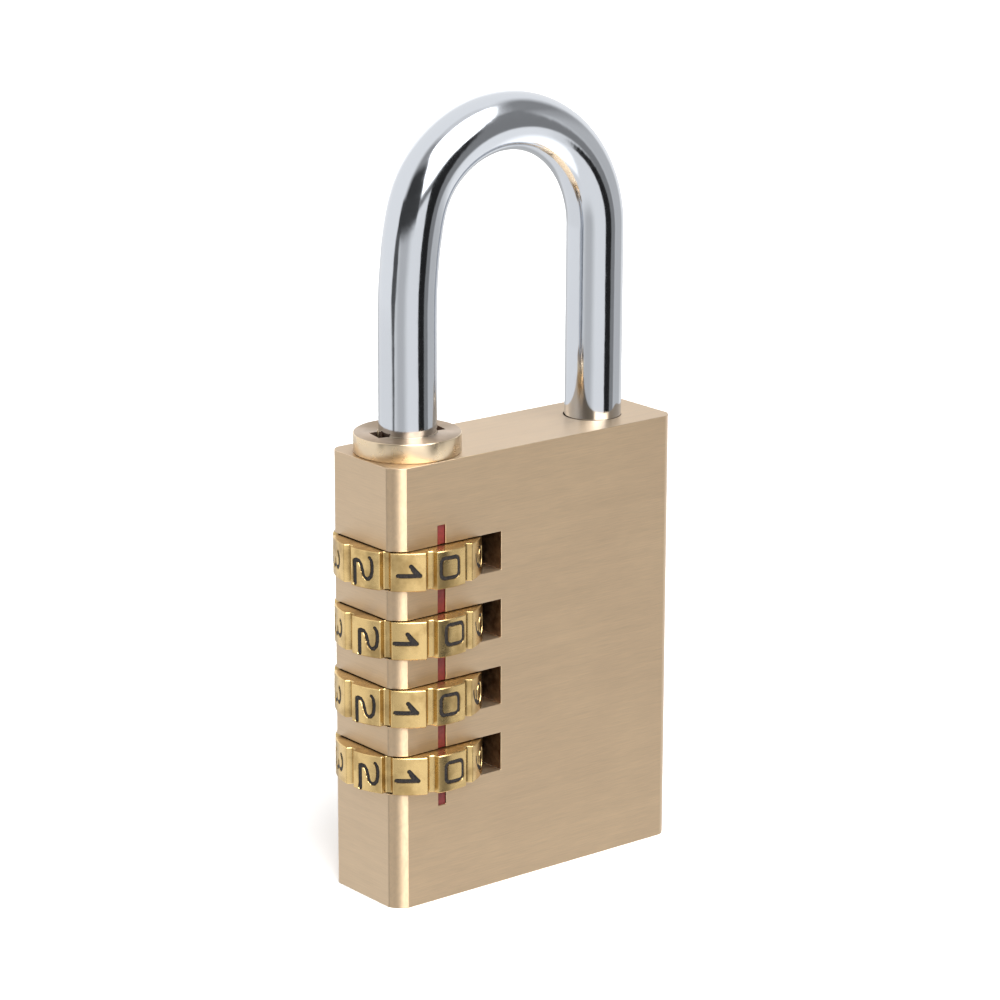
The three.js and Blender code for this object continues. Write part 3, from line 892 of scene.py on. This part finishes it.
def stroke_outline(points, half_width):
    """The outline of a stroke with round ends."""
    path = [Vector(p) for p in points]
    headings = [(b - a).normalized() for a, b in zip(path, path[1:])]
    left, right = [], []
    for i, p in enumerate(path):
        before = headings[max(i - 1, 0)]
        after = headings[min(i, len(headings) - 1)]
        middle = (before + after).normalized()
        reach = half_width / max(middle.dot(after), 0.5)
        side = Vector((-middle.y, middle.x)) * reach
        left.append(p + side)
        right.append(p - side)

    def cap(centre, heading):
        start = math.atan2(heading.y, heading.x)
        return [Vector(q) for q in arc(half_width, start + rad(-90), start + rad(90), 8, centre)[1:-1]]

    return [*right, *cap(path[-1], headings[-1]), *left[::-1], *cap(path[0], -headings[0])]


def engraved_plate(strokes, half_u, half_v):
    """A number plate laid flat: points (u, v, depth), triangles, and which of them hold paint."""
    points = [(-half_u, -half_v), (half_u, -half_v), (half_u, half_v), (-half_u, half_v)]
    edges = []
    faces = [[0, 1, 2, 3]]
    for i in range(1, PLATE_STEPS):
        u = half_u * (2 * i / PLATE_STEPS - 1)
        edges.append((len(points), len(points) + 1))
        points += [(u, -half_v), (u, half_v)]
    for path, weight in strokes:
        for half_width in (STROKE_FLOOR, STROKE_EDGE):
            outline = stroke_outline(path, half_width * weight)
            faces.append([len(points) + i for i in range(len(outline))])
            points += [tuple(p) for p in outline]
    flat, _, triangles, _, _, _ = delaunay_2d_cdt([Vector(p) for p in points], edges, faces, 1, 1e-5)

    def depth(p):
        share = (STROKE_EDGE - distance_to(strokes, p)) / (STROKE_EDGE - STROKE_FLOOR)
        return STROKE_DEPTH * max(0.0, min(1.0, share))

    placed = [(p.x, p.y, depth(p)) for p in flat]
    painted = []
    for triangle in triangles:
        middle = sum((flat[i] for i in triangle), Vector((0, 0))) / 3
        painted.append(distance_to(strokes, middle) < STROKE_FLOOR * 1.02)
    return placed, triangles, painted


def on_dial_face(strokes):
    """Strokes turned a quarter so that each figure's top points along the rim."""
    return [([(y, -x) for x, y in points], weight) for points, weight in strokes]


# ---- Dials ----------------------------------------------------------------------------------
def grip_points():
    """(radius, angle) across one grip groove, about its middle, from one plate to the next."""
    edge = DIGIT_ANGLE / 2 - PLATE_HALF_ANGLE
    floor = math.asin(GRIP_FLOOR_HALF_WIDTH / GRIP_FLOOR_RADIUS)
    half = [
        (DIAL_RADIUS - PLATE_SHOULDER, edge - rad(0.15)),
        (GRIP_FLOOR_RADIUS + GRIP_FLOOR_ROUND, floor + rad(0.35)),
        (GRIP_FLOOR_RADIUS, floor - rad(0.4)),
    ]
    return [(r, -a) for r, a in half] + [(r, a) for r, a in half[::-1]]


def dial_rim():
    """(radius, angle) of every point round the rim, plates and grips in turn."""
    half = PLATE_FLAT_HALF_ANGLE
    points = []
    for digit in range(DIGITS):
        middle = -math.pi / 2 + digit * DIGIT_ANGLE
        for i in range(PLATE_STEPS + 1):
            points.append((DIAL_RADIUS, middle + half * (2 * i / PLATE_STEPS - 1)))
        points += [(r, middle + DIGIT_ANGLE / 2 + a) for r, a in grip_points()]
    return points


def notch_outline():
    """The dial's toothed bore."""
    land_half = DIGIT_ANGLE / 2 - math.asin(NOTCH_WIDTH / 2 / NOTCH_LAND_RADIUS)
    root_half = math.asin(NOTCH_WIDTH / 2 / NOTCH_ROOT_RADIUS)
    points = []
    for notch in range(DIGITS):
        middle = notch * DIGIT_ANGLE
        points += arc(NOTCH_ROOT_RADIUS, middle - root_half, middle + root_half, 4)
        land = middle + DIGIT_ANGLE / 2
        points += arc(NOTCH_LAND_RADIUS, land - land_half, land + land_half, 6)
    return points


def fill_between(bm, outer, inner):
    """A flat ring face between two closed loops, in triangles."""
    edges = []
    for loop in (outer, inner):
        for a, b in zip(loop, loop[1:] + loop[:1]):
            edges.append(bm.edges.get((a, b)) or bm.edges.new((a, b)))
    bmesh.ops.triangle_fill(bm, use_beauty=True, edges=edges)


def dial_shape(dial):
    """One dial about its own axis and middle height, its round faces tagged."""
    bm = bmesh.new()
    plate_tag = bm.faces.layers.int.new("plate")
    half_height = DIAL_HEIGHT / 2
    half_v = half_height - DIAL_EDGE_BREAK
    half_u = PLATE_FLAT_HALF_ANGLE * DIAL_RADIUS

    def vertex(radius, angle, z):
        return bm.verts.new((radius * math.cos(angle), radius * math.sin(angle), z))

    rim = dial_rim()
    rows = [
        [vertex(r - DIAL_EDGE_BREAK, a, -half_height) for r, a in rim],
        [vertex(r, a, -half_v) for r, a in rim],
        [vertex(r, a, half_v) for r, a in rim],
        [vertex(r - DIAL_EDGE_BREAK, a, half_height) for r, a in rim],
    ]
    count = len(rim)
    per_digit = count // DIGITS
    for i in range(count):
        j = (i + 1) % count
        for level, (lower, upper) in enumerate(zip(rows, rows[1:])):
            on_plate = level == 1 and i % per_digit < PLATE_STEPS
            if not on_plate:
                bm.faces.new((lower[i], lower[j], upper[j], upper[i]))
    for digit, strokes in enumerate(figure_strokes()):
        middle = -math.pi / 2 - digit * DIGIT_ANGLE
        figure = stamped(strokes, *stamp_slip(dial, digit))
        placed, triangles, painted = engraved_plate(on_dial_face(figure), half_u, half_v)
        verts = [vertex(DIAL_RADIUS - d, middle + u / DIAL_RADIUS, v) for u, v, d in placed]
        depths = [d for _, _, d in placed]
        for triangle, dark in zip(triangles, painted):
            face = bm.faces.new([verts[i] for i in triangle])
            face.material_index = 1 if dark else 0
            level_face = max(depths[i] for i in triangle) - min(depths[i] for i in triangle) < 1e-6
            face[plate_tag] = 1 if level_face else 0
    top_bore = ring_of(bm, notch_outline(), half_height)
    step_bore = ring_of(bm, notch_outline(), NOTCH_LOW)
    step_relief = ring_of(bm, circle(BORE_RADIUS, 96), NOTCH_LOW)
    low_relief = ring_of(bm, circle(BORE_RADIUS, 96), -half_height)
    bridge(bm, step_bore, top_bore)
    bridge(bm, low_relief, step_relief)
    fill_between(bm, rows[3], top_bore)
    fill_between(bm, step_relief, step_bore)
    fill_between(bm, rows[0], low_relief)
    bmesh.ops.remove_doubles(bm, verts=bm.verts, dist=WELD)
    bmesh.ops.recalc_face_normals(bm, faces=bm.faces)
    return bm


def with_round_normals(mesh):
    """Level plate faces get the cylinder's own normals, so that they shine as one curve."""
    tags = mesh.attributes["plate"].data
    normals = [Vector((0, 0, 0))] * len(mesh.loops)
    for face in mesh.polygons:
        if not tags[face.index].value:
            continue
        for i in face.loop_indices:
            place = mesh.vertices[mesh.loops[i].vertex_index].co
            normals[i] = Vector((place.x, place.y, 0)).normalized()
    mesh.normals_split_custom_set(normals)
    mesh.attributes.remove(mesh.attributes["plate"])


def dials():
    """The four number dials, each a little off its true place in its play."""
    for i, (low, high) in enumerate(DIAL_BOXES):
        mesh = smooth_mesh(dial_shape(i), 25)
        with_round_normals(mesh)
        place = Matrix.Translation((AXIS_X - DIAL_SLIDE[i], 0, (low.z + high.z + DIAL_RISE) / 2))
        mesh.transform(place @ Matrix.Rotation(DIAL_PLAY[i], 4, "Z"))
        name = f"dial_{i + 1}"
        piece(f"number_{name}", mesh, [DIAL_BRASS, FIGURE_PAINT], name, name)


# ---- CAD nodes that stay as they are --------------------------------------------------------
def dress(node, material):
    """Give a CAD node's own mesh a material."""
    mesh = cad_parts[node].data
    mesh.materials.clear()
    mesh.materials.append(material)


def inner_pieces():
    for node in ("retaining_ring", "thrust_washer", "main_spring"):
        dress(node, SPRING_STEEL)
    for i in range(1, 5):
        dress(f"click_spring_{i}", SPRING_STEEL)
        dress(f"code_sleeve_{i}", SATIN_BRASS)


# ---- Studio ---------------------------------------------------------------------------------
CAMERA_AZIMUTH = -38.56
CAMERA_ELEVATION = 15.734
CAMERA_ROLL = 0.118
CAMERA_DISTANCE = 417.65
CAMERA_LENS = 131.8
AIM_OFFSET = Vector((0.39, 0, -1.66))


def camera():
    """A long lens a little above and to the left of the lock's front."""
    centre = (CAD_BOX[0] + CAD_BOX[1]) / 2 / MM + AIM_OFFSET
    a, e = rad(CAMERA_AZIMUTH), rad(CAMERA_ELEVATION)
    back = Vector((math.sin(a) * math.cos(e), -math.cos(a) * math.cos(e), math.sin(e)))
    data = bpy.data.cameras.new("camera")
    data.lens = CAMERA_LENS
    data.sensor_width = 36
    data.clip_start = 0.01
    data.clip_end = 20
    made = bpy.data.objects.new("camera", data)
    made.location = (centre + back * CAMERA_DISTANCE) * MM
    made.rotation_mode = "QUATERNION"
    roll = Matrix.Rotation(rad(CAMERA_ROLL), 4, "Z").to_quaternion()
    made.rotation_quaternion = (-back).to_track_quat("-Z", "Y") @ roll
    bpy.context.scene.collection.objects.link(made)
    bpy.context.scene.camera = made


def floor():
    """A level disc of pale floor; the tent's table panels stand for it in mirror images."""
    bm = bmesh.new()
    bm.faces.new(ring_of(bm, circle(FLOOR_RADIUS, 96), 0))
    mesh = bpy.data.meshes.new("floor")
    bm.to_mesh(mesh)
    bm.free()
    mesh.transform(Matrix.Scale(MM, 4))
    mesh.materials.append(PALE_FLOOR)
    made = bpy.data.objects.new("floor", mesh)
    made.visible_glossy = False
    bpy.context.scene.collection.objects.link(made)


def pale_floor():
    """A matt, nearly white floor."""
    material, graph, surface = shader("pale_floor", Roughness=0.9, Specular_IOR_Level=0.1)
    place = graph.place()
    cloud = graph.noise(place, scale=8, detail=2.0)
    tint = graph.mix(cloud, (0.95, 0.95, 0.95, 1), (0.97, 0.97, 0.97, 1))
    graph.feed(surface.inputs["Base Color"], tint)
    return material


PALE_FLOOR = pale_floor()
FLOOR_RADIUS = 6000

# Panels of the light tent, seen from the lock, later ones in front: corners as (azimuth round from
# the camera to the right, elevation) in degrees, radiance, and how soft the edges are.
WALL = 1.08
TABLE = 0.98
PANELS = [
    ("bright_corner", [(-184, -6), (-146, -4), (-146, 22), (-184, 26)], 1.3, 0.1),
    ("ceiling", [(-60, 62), (20, 72), (110, 64), (150, 80), (-120, 84)], 0.85, 0.1),
    ("table_behind", [(156, -11), (218, -11), (214, -50), (156, -50)], 0.6, 0.12),
    ("table_right", [(76, -17), (140, -17), (130, -50), (70, -50)], 1.12, 0.05),
    ("table_glow", [(0, -36), (75, -42), (150, -36), (150, -80), (0, -80)], 1.75, 0.14),
    ("dim_upper", [(-56, 30), (0, 30), (0, 70), (-62, 70)], 0.38, 0.14),
    ("table_front", [(-46, 3), (37, 4), (62, -45), (-46, -45)], 1.02, 0.05),
    ("front_shade", [(-44, 14), (-6, 14), (-6, -32), (-44, -32)], 0.64, 0.22),
    ("dark_room", [(-57, 11), (16, 11), (14, 42), (-50, 42)], 0.055, 0.13),
    ("dark_room_foot", [(-60, 19), (10, 16), (8, 3), (-60, 3)], 0.06, 0.04),
    ("curtain", [(-62, 5), (-47, 5), (-44, -6), (-55, -18), (-65, -10)], 0.11, 0.035),
    ("mid_grey", [(88, -17), (134, -17), (134, 24), (88, 24)], 0.64, 0.09),
    ("upper_grey", [(66, 18), (132, 18), (134, 56), (96, 62)], 0.33, 0.2),
    ("dark_grey", [(62, -18), (88, -18), (86, 34), (60, 34)], 0.28, 0.065),
    ("softbox", [(9, 16), (60, 21), (99, 65), (-24, 60)], 7.5, 0.075),
    ("valance", [(7, 13), (38, 14), (38, 8), (6, 7)], 0.2, 0.03),
    ("black_card", [(33, 14), (64, 18), (70, -24), (62, -35), (46, -20)], 0.022, 0.03),
]


def direction(azimuth, elevation):
    """The world direction at an azimuth from the camera and an elevation, in degrees."""
    turn = rad(CAMERA_AZIMUTH - 90 + azimuth)
    e = rad(elevation)
    return Vector((math.cos(turn) * math.cos(e), math.sin(turn) * math.cos(e), math.sin(e)))


def panel_mask(graph, heading, corners, softness):
    """1 inside the panel and 0 outside, from one plane through each of its edges."""
    spots = [direction(*corner) for corner in corners]
    centre = sum(spots, Vector()).normalized()
    mask = None
    for a, b in zip(spots, spots[1:] + spots[:1]):
        plane = a.cross(b).normalized()
        if plane.dot(centre) < 0:
            plane = -plane
        edge = graph.span(graph.dot(heading, plane), -softness, softness, kind="SMOOTHSTEP")
        mask = edge if mask is None else graph.math("MULTIPLY", mask, edge)
    return mask


def light_tent():
    """A soft tent of pale walls with a large softbox overhead; it shows as plain white itself."""
    world = bpy.data.worlds.new("light_tent")
    bpy.context.scene.world = world
    world.use_nodes = True
    graph = Graph(world.node_tree)
    heading = graph.node("ShaderNodeTexCoord").outputs["Generated"]
    height = graph.dot(heading, (0, 0, 1))
    light = graph.span(height, -0.24, -0.18, TABLE, WALL)
    for _, corners, radiance, softness in PANELS:
        mask = panel_mask(graph, heading, corners, softness)
        light = graph.span(mask, 0, 1, light, radiance)
    rays = graph.node("ShaderNodeLightPath").outputs["Is Camera Ray"]
    seen = graph.span(rays, 0, 1, light, 1.0)
    shine = graph.node("ShaderNodeBackground", {"Color": seen, "Strength": 1.0})
    output = graph.node("ShaderNodeOutputWorld")
    graph.tree.links.new(shine.outputs[0], output.inputs["Surface"])


camera()
light_tent()
floor()
bpy.context.scene.view_settings.view_transform = "Standard"

lock_body()
for stretch in range(1, 6):
    enamel(stretch)
collar()
shackle()
dials()
inner_pieces()
